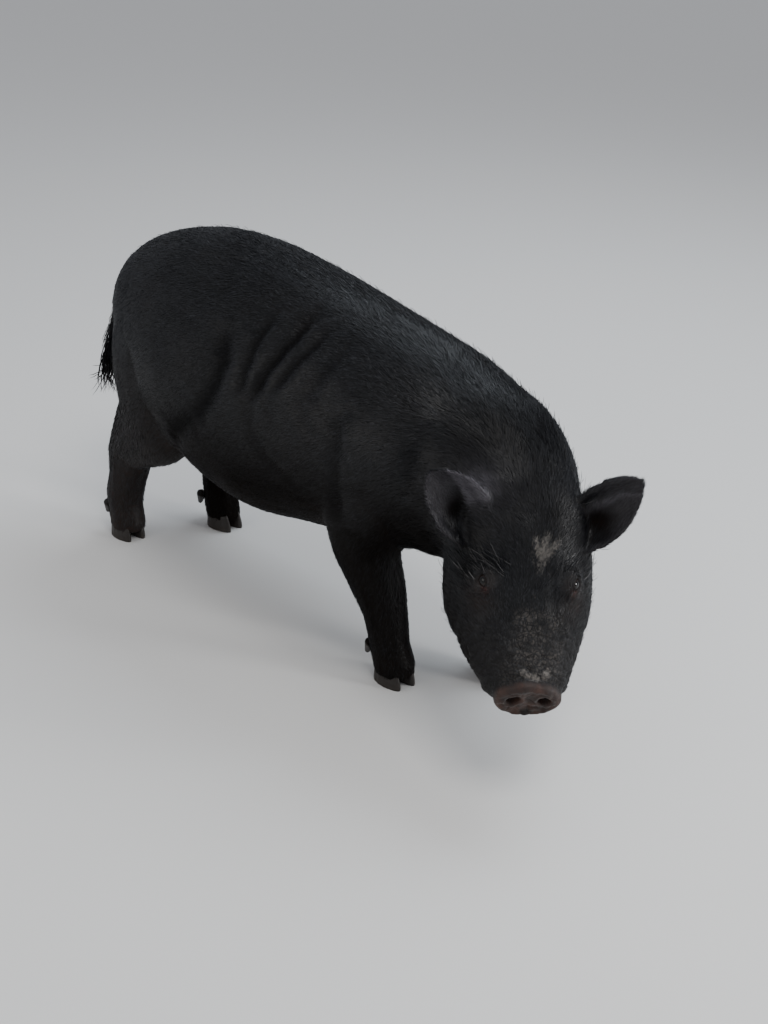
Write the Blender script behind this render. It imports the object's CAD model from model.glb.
import math

import bmesh
import bpy
import numpy as np
from mathutils import Euler, Matrix, Vector


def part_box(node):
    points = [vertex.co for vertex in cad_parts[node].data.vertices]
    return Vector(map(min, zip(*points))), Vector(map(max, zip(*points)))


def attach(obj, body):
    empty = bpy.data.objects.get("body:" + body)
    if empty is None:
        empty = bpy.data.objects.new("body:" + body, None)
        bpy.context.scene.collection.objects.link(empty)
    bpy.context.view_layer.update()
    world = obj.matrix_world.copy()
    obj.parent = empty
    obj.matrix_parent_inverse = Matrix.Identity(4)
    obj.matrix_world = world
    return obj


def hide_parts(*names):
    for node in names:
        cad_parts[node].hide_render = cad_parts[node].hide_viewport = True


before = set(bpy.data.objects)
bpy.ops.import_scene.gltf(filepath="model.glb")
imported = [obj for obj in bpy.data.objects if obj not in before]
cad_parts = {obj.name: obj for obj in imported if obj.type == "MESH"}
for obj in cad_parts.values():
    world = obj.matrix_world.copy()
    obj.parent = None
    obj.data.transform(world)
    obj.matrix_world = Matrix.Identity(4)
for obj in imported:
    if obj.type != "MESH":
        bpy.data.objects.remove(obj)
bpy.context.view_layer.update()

scene = bpy.context.scene

trunk = {
    "rows": (  # x, half width, top, bottom, how much fuller below
        (-0.262, 0.016, 0.300, 0.240, 0.00),
        (-0.255, 0.038, 0.322, 0.206, 0.00),
        (-0.232, 0.060, 0.340, 0.184, 0.00),
        (-0.190, 0.080, 0.362, 0.160, 0.02),
        (-0.125, 0.097, 0.3785, 0.136, 0.08),
        (-0.050, 0.106, 0.3825, 0.116, 0.12),
        (0.030, 0.110, 0.3740, 0.110, 0.12),
        (0.110, 0.106, 0.360, 0.126, 0.08),
        (0.185, 0.099, 0.347, 0.138, 0.04),
        (0.250, 0.088, 0.334, 0.152, 0.02),
        (0.290, 0.070, 0.316, 0.170, 0.00),
    ),
    "corners": 36,
}
neck = {
    "rows": (  # x, y, z, half width, half height
        (0.215, 0.000, 0.242, 0.088, 0.092),
        (0.272, 0.001, 0.236, 0.081, 0.087),
        (0.314, -0.008, 0.228, 0.072, 0.079),
        (0.344, -0.027, 0.217, 0.062, 0.068),
        (0.362, -0.040, 0.207, 0.049, 0.052),
    ),
    "corners": 32,
}
head = {
    "place": (0.3965, -0.0595, 0.1915),
    "turn": (-3.8, 36.0, -40.5),
    "rows": (  # x to the snout, half width, top, bottom, how much fuller below
        (-0.112, 0.034, 0.026, -0.040, 0.00),
        (-0.100, 0.050, 0.040, -0.062, 0.02),
        (-0.076, 0.059, 0.046, -0.074, 0.08),
        (-0.046, 0.064, 0.041, -0.079, 0.17),
        (-0.014, 0.064, 0.028, -0.077, 0.24),
        (0.014, 0.060, 0.013, -0.073, 0.27),
        (0.038, 0.0525, 0.003, -0.067, 0.25),
        (0.058, 0.0455, -0.001, -0.061, 0.20),
        (0.074, 0.0395, -0.003, -0.058, 0.14),
        (0.087, 0.034, -0.004, -0.056, 0.08),
        (0.092, 0.026, -0.010, -0.048, 0.05),
    ),
    "corners": 32,
    "brow": ((0.0165, 0.0105, 0.0115), (-0.0010, 0.0362, 0.0030)),
}
legs = {
    "front": (  # x, y, z, half depth, half width
        (0.200, 0.052, 0.262, 0.044, 0.026),
        (0.200, 0.062, 0.205, 0.050, 0.034),
        (0.194, 0.062, 0.160, 0.040, 0.030),
        (0.202, 0.055, 0.118, 0.030, 0.025),
        (0.209, 0.047, 0.084, 0.024, 0.022),
        (0.211, 0.042, 0.056, 0.021, 0.020),
        (0.213, 0.039, 0.036, 0.021, 0.0195),
        (0.219, 0.038, 0.020, 0.0215, 0.0200),
        (0.221, 0.038, 0.006, 0.0205, 0.0185),
    ),
    "hind": (
        (-0.160, 0.044, 0.300, 0.060, 0.030),
        (-0.152, 0.054, 0.248, 0.068, 0.040),
        (-0.138, 0.061, 0.200, 0.064, 0.039),
        (-0.148, 0.062, 0.172, 0.058, 0.035),
        (-0.176, 0.060, 0.144, 0.043, 0.030),
        (-0.204, 0.058, 0.114, 0.030, 0.025),
        (-0.212, 0.060, 0.084, 0.024, 0.022),
        (-0.219, 0.062, 0.056, 0.022, 0.021),
        (-0.220, 0.062, 0.036, 0.021, 0.0195),
        (-0.216, 0.062, 0.020, 0.0215, 0.0200),
        (-0.214, 0.062, 0.006, 0.0205, 0.0185),
    ),
    "feet": {
        "leg_front_right": (0.219, -0.038),
        "leg_front_left": (0.282, 0.046),
        "leg_hind_right": (-0.216, -0.062),
        "leg_hind_left": (-0.166, 0.042),
    },
    "top": 0.27,
}
ear = {
    "width": 0.053,
    "wall": 0.0042,
    "edge": 0.60,
    "roll": 1.7,
    "corners": 25,
    "left": {  # held its own way: root, tip, the way to its lower edge, shares of width and sway
        "root": (-0.049, 0.047, 0.013), "tip": (-0.0779, 0.0975, 0.0431),
        "across": (0.88, 0.32, -0.36), "wide": 0.90, "sway": 0.45,
    },
    "right": {
        "root": (-0.0447, -0.0530, 0.0205), "tip": (-0.0745, -0.0905, 0.0550),
        "across": (0.44, -0.83, -0.34), "wide": 0.88, "sway": -0.6,
    },
    "rows": (  # share of its length, width, curl, bend, sway
        (-0.30, 0.038, 1.35, 0.000, 0.000),
        (0.08, 0.053, 1.20, 0.000, 0.001),
        (0.34, 0.056, 0.95, 0.000, 0.003),
        (0.62, 0.048, 0.75, 0.001, 0.004),
        (0.86, 0.028, 0.60, 0.003, 0.001),
        (1.00, 0.005, 0.50, 0.005, -0.003),
    ),
}
snout = {
    "width": 0.058, "height": 0.044, "back": 0.078, "front": 0.099, "middle": -0.025,
    "tilt": 10.0,
    "rings": (  # share of its depth, of its width, of its height
        (0.0, 1.12, 0.93), (0.35, 1.08, 0.96), (0.62, 1.0, 0.98), (0.80, 1.0, 1.0), (0.93, 0.97, 0.97),
        (1.0, 0.88, 0.88),
    ),
    "nostril": {
        "side": 0.0132, "rise": 0.0032, "width": 0.0108, "height": 0.0128, "depth": 0.009, "slant": 38.0,
    },
}
mouth = {
    "line": (  # x, half width, z
        (0.0930, 0.000, -0.0520),
        (0.0870, 0.017, -0.0515),
        (0.0740, 0.033, -0.0500),
        (0.0560, 0.044, -0.0470),
        (0.0400, 0.052, -0.0425),
    ),
    "depth": 0.0026, "width": 0.0013, "lip": 0.0008, "lipAway": 0.0034, "lipWidth": 0.0018,
}
eye = {
    "place": (0.0010, 0.0350, 0.0035), "radius": 0.0088, "look": (0.35, 0.70, 0.62),
    "halfAlong": 0.62, "halfUp": 0.45, "pointed": 1.6, "lid": 0.0011, "reach": 0.0160,
    "lidWidth": 0.55, "lidRise": 0.42, "sunk": 0.0024, "lowerLid": -0.15,
}
tail = {
    "rows": (  # x, y, z, half depth, half width
        (-0.244, 0.000, 0.318, 0.0100, 0.0100),
        (-0.265, -0.007, 0.300, 0.0080, 0.0080),
        (-0.280, -0.018, 0.266, 0.0060, 0.0060),
        (-0.286, -0.026, 0.230, 0.0046, 0.0046),
        (-0.289, -0.030, 0.202, 0.0036, 0.0036),
        (-0.290, -0.032, 0.188, 0.0022, 0.0022),
    ),
}

headPlace = Vector(head["place"])
headTurn = Euler([math.radians(a) for a in head["turn"]])
headFrame = Matrix.LocRotScale(headPlace, headTurn, None)
headAxes = np.array(headTurn.to_matrix())
eyeBoxes = [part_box("eye_left"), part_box("eye_right")]
eyeMiddle = sum((low + high for low, high in eyeBoxes), Vector()) / 4
# from the pig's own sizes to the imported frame
shift = eyeMiddle - headFrame @ Vector((eye["place"][0], 0, eye["place"][2]))
shift.z = 0.0
print("shift", tuple(round(v, 5) for v in shift))


def through(rows, steps):
    rows = np.array(rows, float)
    padded = np.vstack([2 * rows[0] - rows[1], rows, 2 * rows[-1] - rows[-2]])
    out = []
    for i in range(1, len(rows)):
        a, b, c, d = padded[i - 1 : i + 3]
        for t in np.arange(steps) / steps:
            square = (2 * a - 5 * b + 4 * c - d) * t**2
            cube = (3 * b - a - 3 * c + d) * t**3
            out.append(0.5 * (2 * b + (c - a) * t + square + cube))
    return np.array(out + [rows[-1]])


def section(centre, across, up, half, rise, fuller=0.0, corners=28, square=2.2):
    centre, across, up = (np.array(v, float) for v in (centre, across, up))
    turn = np.arange(corners) * 2 * math.pi / corners
    side = np.sign(np.cos(turn)) * np.abs(np.cos(turn)) ** (2 / square)
    height = np.sign(np.sin(turn)) * np.abs(np.sin(turn)) ** (2 / square)
    out = across[None] * (half * side * (1 - fuller * height))[:, None]
    return centre + out + up[None] * (rise * height)[:, None]


def trunkRings():
    for x, half, top, bottom, fuller in through(trunk["rows"], 4):
        centre = (x, 0, (top + bottom) / 2)
        yield section(centre, (0, 1, 0), (0, 0, 1), half, (top - bottom) / 2, fuller, trunk["corners"])


def neckRings():
    rows = through(neck["rows"], 4)
    for run, row in zip(np.gradient(rows[:, :3], axis=0), rows):
        run = Vector(run).normalized()
        across = Vector((0, 0, 1)).cross(run).normalized()
        yield section(row[:3], across, run.cross(across), row[3], row[4], 0.04, neck["corners"])


def headRings():
    across, up = headAxes[:, 1], headAxes[:, 2]
    for x, half, top, bottom, fuller in through(head["rows"], 4):
        centre = headFrame @ Vector((x, 0, (top + bottom) / 2))
        yield section(centre, across, up, half, (top - bottom) / 2, fuller, head["corners"])


def tubeRings(stations, corners=20, steps=4):
    rows = through(stations, steps)
    side = Vector((0, 1, 0))
    for run, row in zip(np.gradient(rows[:, :3], axis=0), rows):
        run = Vector(run).normalized()
        depth = side.cross(run).normalized()
        yield section(row[:3], run.cross(depth), depth, row[4], row[3], corners=corners)


def legStations(name):
    base = legs["front"] if "front" in name else legs["hind"]
    side = 1 if "left" in name else -1
    foot = legs["feet"][name]
    rows = []
    for x, y, z, depth, width in base:
        share = max(0.0, 1 - z / legs["top"])
        shiftX = (foot[0] - base[-2][0]) * share
        shiftY = (foot[1] - side * base[-2][1]) * share
        rows.append((x + shiftX, side * y + shiftY, z, depth, width))
    return rows


def earAxes(word):
    mine = ear[word]
    root, tip, across = (Vector(mine[key]) for key in ("root", "tip", "across"))
    across.normalize()
    facing = across.cross(tip - root).normalized() * (1 if word == "left" else -1)
    return root, tip, across, facing


def earRings(word):
    root, tip, across, facing = earAxes(word)
    turns = np.linspace(-1, 1, ear["corners"])
    for share, width, curl, bend, sway in through(ear["rows"], 4):
        middle = root + (tip - root) * share + facing * bend + across * sway * ear[word]["sway"]
        width *= ear[word]["wide"]
        radius = width / 2 / max(math.sin(curl), 0.2)
        lift = radius * (1 - math.cos(curl)) / 2
        body = min(1, ear["edge"] + width / ear["width"])
        ring = []
        for face in (1, -1):
            for t in turns if face > 0 else turns[::-1]:
                roll = 1 + ear["roll"] * math.exp(-(((t + 0.86) / 0.16) ** 2)) * (1 - 0.8 * share)
                wall = ear["wall"] / 2 * (1 - (1 - ear["edge"]) * abs(t) ** 3) * body * roll
                reach = radius - face * wall
                spot = middle + across * reach * math.sin(t * curl)
                ring.append(headFrame @ (spot + facing * (radius - lift - reach * math.cos(t * curl))))
        yield np.array(ring)


def snoutRings():
    depth = snout["front"] - snout["back"]
    for share, wide, tall in snout["rings"]:
        centre = headFrame @ Vector((snout["back"] + share * depth, 0, snout["middle"]))
        turn = math.radians(snout["tilt"]) * share
        up = headAxes @ np.array([-math.sin(turn), 0, math.cos(turn)])
        half, rise = snout["width"] / 2 * wide, snout["height"] / 2 * tall
        yield section(centre, headAxes[:, 1], up, half, rise, 0.05, 36)


def addLoft(bm, rings):
    rows = [[bm.verts.new(p) for p in ring] for ring in rings]
    for a, b in zip(rows, rows[1:]):
        for i in range(len(a)):
            j = (i + 1) % len(a)
            bm.faces.new((a[i], a[j], b[j], b[i]))
    bm.faces.new(rows[0][::-1])
    bm.faces.new(rows[-1])


def objectFrom(bm, name):
    bmesh.ops.recalc_face_normals(bm, faces=bm.faces)
    mesh = bpy.data.meshes.new(name)
    bm.to_mesh(mesh)
    bm.free()
    obj = bpy.data.objects.new(name, mesh)
    scene.collection.objects.link(obj)
    return obj


def applyModifiers(obj):
    graph = bpy.context.evaluated_depsgraph_get()
    made = bpy.data.meshes.new_from_object(obj.evaluated_get(graph))
    obj.modifiers.clear()
    obj.data = made


def remesh(obj, voxel, rounds):
    fuse = obj.modifiers.new("Fuse", "REMESH")
    fuse.mode = "VOXEL"
    fuse.voxel_size = voxel
    smooth = obj.modifiers.new("Smooth", "SMOOTH")
    smooth.factor = 0.5
    smooth.iterations = rounds
    applyModifiers(obj)


def coords(mesh):
    flat = np.empty(len(mesh.vertices) * 3, np.float32)
    mesh.vertices.foreach_get("co", flat)
    return flat.reshape(-1, 3).astype(float)


def normals(mesh):
    flat = np.empty(len(mesh.vertices) * 3, np.float32)
    mesh.vertex_normals.foreach_get("vector", flat)
    return flat.reshape(-1, 3).astype(float)


def setCoords(mesh, points):
    mesh.vertices.foreach_set("co", points.astype(np.float32).ravel())
    mesh.update()


def smoothStep(low, high, value):
    t = np.clip((value - low) / (high - low), 0, 1)
    return t * t * (3 - 2 * t)


def bell(value, width):
    return np.exp(-((value / width) ** 2))


def unit(vectors):
    return vectors / np.maximum(np.linalg.norm(vectors, axis=-1, keepdims=True), 1e-9)


def inHead(points):
    return (points - np.array(headPlace)) @ headAxes


skinSizes = {
    "baseVoxel": 0.0030, "baseRounds": 16, "voxel": 0.0016, "rounds": 4,
    "bodyFaces": 0.248, "muzzleCuts": 1, "eyeCuts": 2, "eyeReach": 0.015, "regionBlend": 0.012,
}


def bodyForm():
    bm = bmesh.new()
    addLoft(bm, trunkRings())
    addLoft(bm, neckRings())
    addLoft(bm, headRings())
    size, place = head["brow"]
    for side in (1, -1):
        spot = Vector((place[0], side * place[1], place[2]))
        brow = headFrame @ Matrix.LocRotScale(spot, None, Vector(size))
        bmesh.ops.create_uvsphere(bm, u_segments=20, v_segments=12, radius=1.0, matrix=brow)
    for name in legs["feet"]:
        addLoft(bm, tubeRings(legStations(name)))
    obj = objectFrom(bm, "skin")
    remesh(obj, skinSizes["baseVoxel"], skinSizes["baseRounds"])
    return obj


def wholeForm():
    obj = bodyForm()
    bm = bmesh.new()
    bm.from_mesh(obj.data)
    for word in ("left", "right"):
        addLoft(bm, earRings(word))
    addLoft(bm, snoutRings())
    addLoft(bm, tubeRings(tail["rows"], 14, 4))
    bmesh.ops.recalc_face_normals(bm, faces=bm.faces)
    bm.to_mesh(obj.data)
    bm.free()
    remesh(obj, skinSizes["voxel"], skinSizes["rounds"])
    return obj


def pairs(spots):
    return np.array(spots).reshape(-1, 2)


def foldSides(y):
    # Each list of folds, and the points that it is drawn on.
    return ("rightSide", y < 0), ("bothSides", y != 0), ("leftSide", y > 0)


def nearFolds(points):
    x, y, z = points.T
    flat = np.stack([x, z], axis=1)
    close = np.zeros(len(points), bool)
    for word, side in foldSides(y):
        for row in folds[word]:
            close |= side & (fromLine(flat, pairs(row[0])) < folds["fine"])
    return close


def thinBody(obj):
    # Keeps the head and the folds fine and lets the broad body be coarser.
    points = coords(obj.data)
    local = inHead(points)
    away = (local[:, 0] < -0.095) | (np.linalg.norm(local, axis=1) > 0.145)
    away = np.flatnonzero(away & ~nearFolds(points))
    group = obj.vertex_groups.new(name="broad")
    group.add(away.tolist(), 1.0, "REPLACE")
    thin = obj.modifiers.new("Thin", "DECIMATE")
    thin.vertex_group = "broad"
    thin.ratio = skinSizes["bodyFaces"]
    applyModifiers(obj)
    obj.vertex_groups.clear()


def refine(obj, near, cuts):
    # Splits the faces whose middle lies where near() says.
    bm = bmesh.new()
    bm.from_mesh(obj.data)
    middles = np.array([f.calc_center_median() for f in bm.faces])
    chosen = near(middles)
    bm.faces.ensure_lookup_table()
    edges = {e for i in np.flatnonzero(chosen) for e in bm.faces[i].edges}
    bmesh.ops.subdivide_edges(bm, edges=list(edges), cuts=cuts, use_grid_fill=True, smooth=0.0)
    bmesh.ops.triangulate(bm, faces=[f for f in bm.faces if len(f.verts) > 4])
    bm.to_mesh(obj.data)
    bm.free()


def eyeCentres():
    x, y, z = eye["place"]
    return [np.array(headFrame @ Vector((x, side * y, z))) for side in (1, -1)]


def eyeAxes(side):
    look = np.array([eye["look"][0], side * eye["look"][1], eye["look"][2]])
    outward = unit(headAxes @ look)
    along = headAxes @ np.array([1.0, 0.0, -0.25])
    up = unit(np.cross(outward, along) * side)
    along = unit(np.cross(up, outward) * side)
    return along, up, outward


def nearEyes(points):
    return np.min([np.linalg.norm(points - c, axis=1) for c in eyeCentres()], axis=0) < skinSizes["eyeReach"]


def mouthLine():
    rows = through(mouth["line"], 6)
    right = rows * np.array([1, -1, 1])
    return np.vstack([right[::-1], rows[1:]])


def fromLine(points, line):
    # Distance of each point from a polyline.
    best = np.full(len(points), 1e9)
    for a, b in zip(line, line[1:]):
        run = b - a
        share = np.clip((points - a) @ run / (run @ run), 0, 1)
        best = np.minimum(best, np.linalg.norm(points - a - share[:, None] * run, axis=1))
    return best


def nearMuzzle(points):
    local = inHead(points)
    disc = (local[:, 0] > 0.078) & (np.abs(local[:, 1]) < 0.034) & (local[:, 2] > -0.058)
    return disc | (fromLine(local, mouthLine()) < 0.006)


def shapeEyes(points):
    for centre, side in zip(eyeCentres(), (1, -1)):
        along, up, outward = eyeAxes(side)
        rel = points - centre
        radius = np.linalg.norm(rel, axis=1)
        near = np.flatnonzero(radius < eye["reach"] * 1.6)
        way = rel[near] / radius[near, None]
        front = way @ outward
        a = np.arctan2(way @ along, front)
        b = np.arctan2(way @ up, front)
        power = eye["pointed"]
        q = (np.abs(a / eye["halfAlong"]) ** power + np.abs(b / eye["halfUp"]) ** power) ** (1 / power)
        s = (q - 1) * eye["radius"] * eye["lidWidth"]
        rim = eye["radius"] + eye["lid"]
        now = radius[near]
        lid = rim + 0.0002 + np.maximum(s, 0) * eye["lidRise"]
        settle = smoothStep(0.0030, 0.0085, s)
        far = np.maximum(now, rim)
        outer = far * settle + np.minimum(np.maximum(lid, rim), far) * (1 - settle)
        upper = b > eye["lowerLid"]
        wrinkle = 0.0007 * bell(s - 0.0034, 0.0007) * upper + 0.0005 * bell(s - 0.0030, 0.0008) * ~upper
        wrinkle += 0.0004 * bell(s - 0.0058, 0.0009)
        outer -= wrinkle
        inner = eye["radius"] - eye["sunk"]
        share = smoothStep(-0.0005, 0.0006, s)
        target = inner * (1 - share) + outer * share
        target = np.where(front > 0.05, target, now)
        fade = smoothStep(eye["reach"] * 1.5, eye["reach"], now)
        points[near] = centre + way * (now + (target - now) * fade)[:, None]
    return points


def onDisc(local):
    # Place on the tilted disc of the nose: across it, up it, and out from it.
    turn = math.radians(snout["tilt"])
    rel = local - np.array([snout["front"], 0, snout["middle"]])
    up = rel @ np.array([-math.sin(turn), 0, math.cos(turn)])
    ahead = rel @ np.array([math.cos(turn), 0, math.sin(turn)])
    return rel[:, 1], up, ahead


def ripple(points, size, seed, waves=9):
    # A smooth random field, about -1 to 1, whose features are of this size.
    dice = np.random.default_rng(seed)
    ways = unit(dice.normal(size=(waves, 3))) * dice.uniform(0.7, 1.3, (waves, 1))
    phases = dice.uniform(0, 2 * math.pi, waves)
    return np.sin(points @ ways.T * (2 * math.pi / size) + phases).sum(axis=1) / math.sqrt(waves)


def crease(points, size, seed):
    # Narrow wandering lines, 1 along each line.
    return np.clip(1 - np.abs(ripple(points, size, seed)) * 1.6, 0, 1) ** 2


def shapeNostrils(local):
    across, up, ahead = onDisc(local)
    hole = snout["nostril"]
    front = smoothStep(-0.0075, -0.0025, ahead)
    slant = math.radians(hole["slant"])
    push = np.zeros(len(local))
    for side in (1, -1):
        a = (across - side * hole["side"]) * side
        b = up - hole["rise"]
        wide = (a * math.cos(slant) + b * math.sin(slant)) / (hole["width"] / 2)
        tall = (b * math.cos(slant) - a * math.sin(slant)) / (hole["height"] / 2)
        q = np.hypot(wide, tall)
        push -= hole["depth"] * np.sqrt(np.clip(1 - q**2, 0, 1)) * front
        push += 0.0010 * bell(q - 1.35, 0.28) * front
    rim = np.hypot(across / (snout["width"] / 2), up / (snout["height"] / 2))
    push += (0.0011 + 0.0007 * ripple(local, 0.013, 41)) * bell(rim - 0.83, 0.11) * front
    push -= 0.0010 * bell(across, 0.0030) * front * smoothStep(0.85, 0.6, rim)
    push -= 0.0007 * crease(local * np.array([1.0, 0.6, 1.0]), 0.011, 42) * front * smoothStep(1.0, 0.8, rim)
    push += 0.0004 * ripple(local, 0.0065, 5) * front * smoothStep(0.98, 0.7, rim)
    turn = math.radians(snout["tilt"])
    return local + push[:, None] * np.array([math.cos(turn), 0, math.sin(turn)]), rim


def shapeMuzzle(points, out):
    local = inHead(points)
    x, y, z = local.T
    moved, rim = shapeNostrils(local)
    points = moved @ headAxes.T + np.array(headPlace)
    # the neck of the disc, the mouth's line and its lips, and the creases over the nose
    away = fromLine(local, mouthLine())
    depth = -0.0011 * bell(x - 0.0860, 0.0020) * (rim > 0.9) * smoothStep(-0.052, -0.044, z)
    ending = smoothStep(0.040, 0.050, x)
    depth -= mouth["depth"] * bell(away, mouth["width"]) * ending
    depth += mouth["lip"] * bell(away - mouth["lipAway"], mouth["lipWidth"]) * ending
    nose = smoothStep(-0.030, -0.008, z) * smoothStep(0.022, 0.050, x) * smoothStep(0.090, 0.082, x)
    broad = local * np.array([1.0, 0.34, 0.7])
    depth -= nose * (0.0014 * crease(broad, 0.012, 3) + 0.0009 * crease(local, 0.0075, 4))
    side = smoothStep(0.020, 0.032, np.abs(y)) * smoothStep(0.020, 0.050, x) * smoothStep(0.088, 0.078, x)
    depth -= 0.0012 * side * crease(local * np.array([1.0, 0.8, 0.45]), 0.012, 6)
    brow = smoothStep(0.034, 0.016, np.abs(y)) * bell(x + 0.004, 0.024) * smoothStep(0.0, 0.02, z)
    depth -= 0.0009 * brow * crease(local * np.array([0.30, 1.0, 0.6]), 0.014, 8)
    pouch = bell(np.hypot(x - 0.006, np.abs(np.abs(y) - 0.050)), 0.020) * smoothStep(0.008, -0.006, z)
    depth -= 0.0008 * pouch * crease(local * np.array([0.9, 0.6, 1.0]), 0.011, 9)
    jowl = x - 0.030 + 0.5 * (z + 0.045)
    cheek = bell(jowl, 0.0055) * bell(z + 0.048, 0.020) * smoothStep(0.03, 0.045, np.abs(y))
    depth -= 0.0014 * cheek
    return points + out * depth[:, None]


# Folds of the hide, each a line of x, z, x, z ... with its depth and half width
folds = {
    "rightSide": (
        ((0.0624, 0.3413, 0.0602, 0.328, 0.0586, 0.3117, 0.0565, 0.2946, 0.0559, 0.272), 0.0027, 0.0076),
        ((0.1015, 0.352, 0.0994, 0.3295, 0.091, 0.3121, 0.0806, 0.2914, 0.0734, 0.270), 0.0032, 0.0076),
        ((0.1261, 0.340, 0.1208, 0.3216, 0.112, 0.3048, 0.1007, 0.285), 0.0027, 0.0072),
        ((0.1581, 0.337, 0.1577, 0.3237, 0.1516, 0.3074, 0.146, 0.294), 0.0014, 0.0072),
        ((0.068, 0.2671, 0.079, 0.2454, 0.1026, 0.222, 0.142, 0.200), 0.0012, 0.0090),
        ((0.083, 0.2855, 0.097, 0.2703, 0.110, 0.2526), 0.0009, 0.0070),
        ((0.132, 0.292, 0.147, 0.2704, 0.163, 0.256), 0.0008, 0.0070),
    ),
    "bothSides": (
        (
            (0.017, 0.318, 0.026, 0.294, 0.018, 0.2605, 0.003, 0.2345, -0.050, 0.196, -0.078, 0.150),
            0.0034, 0.0130,
        ),
        ((0.186, 0.285, 0.193, 0.255, 0.195, 0.216, 0.199, 0.185), 0.0020, 0.0095),
        ((0.272, 0.294, 0.2735, 0.276, 0.277, 0.250), 0.0020, 0.0110),
    ),
    "leftSide": (
        ((0.020, 0.335, 0.030, 0.300, 0.040, 0.270), 0.0022, 0.0076),
        ((0.060, 0.345, 0.062, 0.310, 0.066, 0.285), 0.0022, 0.0076),
    ),
    "haunch": (-0.085, 0.262, 0.062, 0.0060),  # x, z, half size, height
    "shoulder": (0.225, 0.255, 0.034, 0.0026),
    "ridge": 0.32, "ridgeAside": 0.0125, "taper": 0.013, "fine": 0.016, "fullDepth": 0.0040,
    "frontLevels": (0.098, 0.050, 0.034), "hindLevels": (0.124, 0.052, 0.036),  # creases on the legs
}


def shapeBody(points, out):
    # Gives the shaped points, and how deep in a fold each lies: 1 in the deepest, below 0 on a ridge.
    x, y, z = points.T
    depth = np.zeros(len(points))
    lateral = smoothStep(0.02, 0.065, np.abs(y))
    flat = np.stack([x, z], axis=1)
    flat = flat + 0.0006 * ripple(points, 0.060, 12)[:, None]
    taper = folds["taper"]
    for word, side in foldSides(y):
        for spots, deep, half in folds[word]:
            line = pairs(spots)
            top, foot = line[:, 1].max(), line[:, 1].min()
            mine = side * smoothStep(top + taper, top - taper, z) * smoothStep(foot - taper, foot + taper, z)
            away = fromLine(flat, line)
            beside = fromLine(flat - np.array([folds["ridgeAside"], 0]), line)
            depth -= deep * bell(away, half) * lateral * mine
            depth += folds["ridge"] * deep * bell(beside, half) * lateral * mine
    foldDepth = np.clip(-depth / folds["fullDepth"], -0.8, 1)
    for word in ("haunch", "shoulder"):
        middleX, middleZ, half, height = folds[word]
        depth += height * bell(np.hypot(x - middleX, z - middleZ), half) * lateral
    depth += 0.0006 * ripple(points, 0.050, 13) * lateral + 0.0003 * ripple(points, 0.021, 14) * lateral
    for name in legs["feet"]:
        rows = np.array(legStations(name))
        levels = folds["frontLevels"] if "front" in name else folds["hindLevels"]
        axis = np.stack([np.interp(z, rows[::-1, 2], rows[::-1, i]) for i in (0, 1)], axis=1)
        reach = np.hypot(x - axis[:, 0], y - axis[:, 1])
        mine = smoothStep(0.055, 0.035, reach) * (z < 0.16)
        for level in levels:
            tilt = z + 0.10 * (x - axis[:, 0]) - level
            depth -= 0.0011 * bell(tilt, 0.0022) * mine
            depth += 0.0006 * bell(tilt - 0.006, 0.0035) * mine
        knee = bell(z - (0.112 if "front" in name else 0.118), 0.016) * mine
        depth += 0.0016 * knee * np.sign(x - axis[:, 0]) * (1 if "front" in name else -1)
        tendon = bell(z - 0.075, 0.03) * bell(np.abs(y - axis[:, 1]) - 0.016, 0.006)
        depth -= 0.0016 * (tendon * (x < axis[:, 0]) * mine)
    return points + out * depth[:, None], foldDepth


print("skin")
skin = wholeForm()
thinBody(skin)
print("thinned", len(skin.data.polygons))
refine(skin, nearMuzzle, skinSizes["muzzleCuts"])
refine(skin, nearEyes, skinSizes["eyeCuts"])
mesh = skin.data
points = coords(mesh)
out = normals(mesh)
local = inHead(points)

# how thick the coat lies, which the skin is set in by
coatDepths = {"body": 0.0019, "lessOnFace": 0.0012, "lessOnFeet": 0.0010, "edges": 0.0004, "disc": 0.0002}
face = smoothStep(-0.085, -0.055, local[:, 0]) * (np.linalg.norm(local, axis=1) < 0.16)
low = smoothStep(0.13, 0.09, points[:, 2]) * (1 - face)
coatDepth = coatDepths["body"] - coatDepths["lessOnFace"] * face - coatDepths["lessOnFeet"] * low
coatDepth[np.abs(local[:, 1]) > 0.062] = coatDepths["edges"]
coatDepth[local[:, 0] > 0.080] = coatDepths["disc"]
coatDepth[(points[:, 0] < -0.262) & (points[:, 2] > 0.19)] = coatDepths["edges"]
nearEye = np.min([np.linalg.norm(points - c, axis=1) for c in eyeCentres()], axis=0)
coatDepth *= smoothStep(0.012, 0.024, nearEye)
points = points - out * coatDepth[:, None]
points, foldDepth = shapeBody(points, out)
points = shapeMuzzle(points, out)
points = shapeEyes(points)
setCoords(mesh, points)
print("skin faces", len(mesh.polygons), "triangles", sum(len(p.vertices) - 2 for p in mesh.polygons))


def regionPoints():
    found = {"trunk": list(trunkRings()), "neck": list(neckRings())}
    found["head"] = list(headRings()) + list(snoutRings())
    for word in ("left", "right"):
        found[word + "Ear"] = list(earRings(word))[8:]
    for name in legs["feet"]:
        rings = list(tubeRings(legStations(name)))
        found[name] = [r for r in rings if r[:, 2].mean() < (0.155 if "front" in name else 0.185)]
    found["tail"] = list(tubeRings(tail["rows"], 14, 4))[3:]
    return {word: np.vstack(rings) for word, rings in found.items()}


def nearest(points, cloud):
    best = np.empty(len(points))
    square = (cloud**2).sum(1)
    for i in range(0, len(points), 8000):
        part = points[i : i + 8000]
        gap = (part**2).sum(1)[:, None] + square[None] - 2 * part @ cloud.T
        best[i : i + 8000] = np.sqrt(np.maximum(gap.min(axis=1), 0))
    return best


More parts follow.
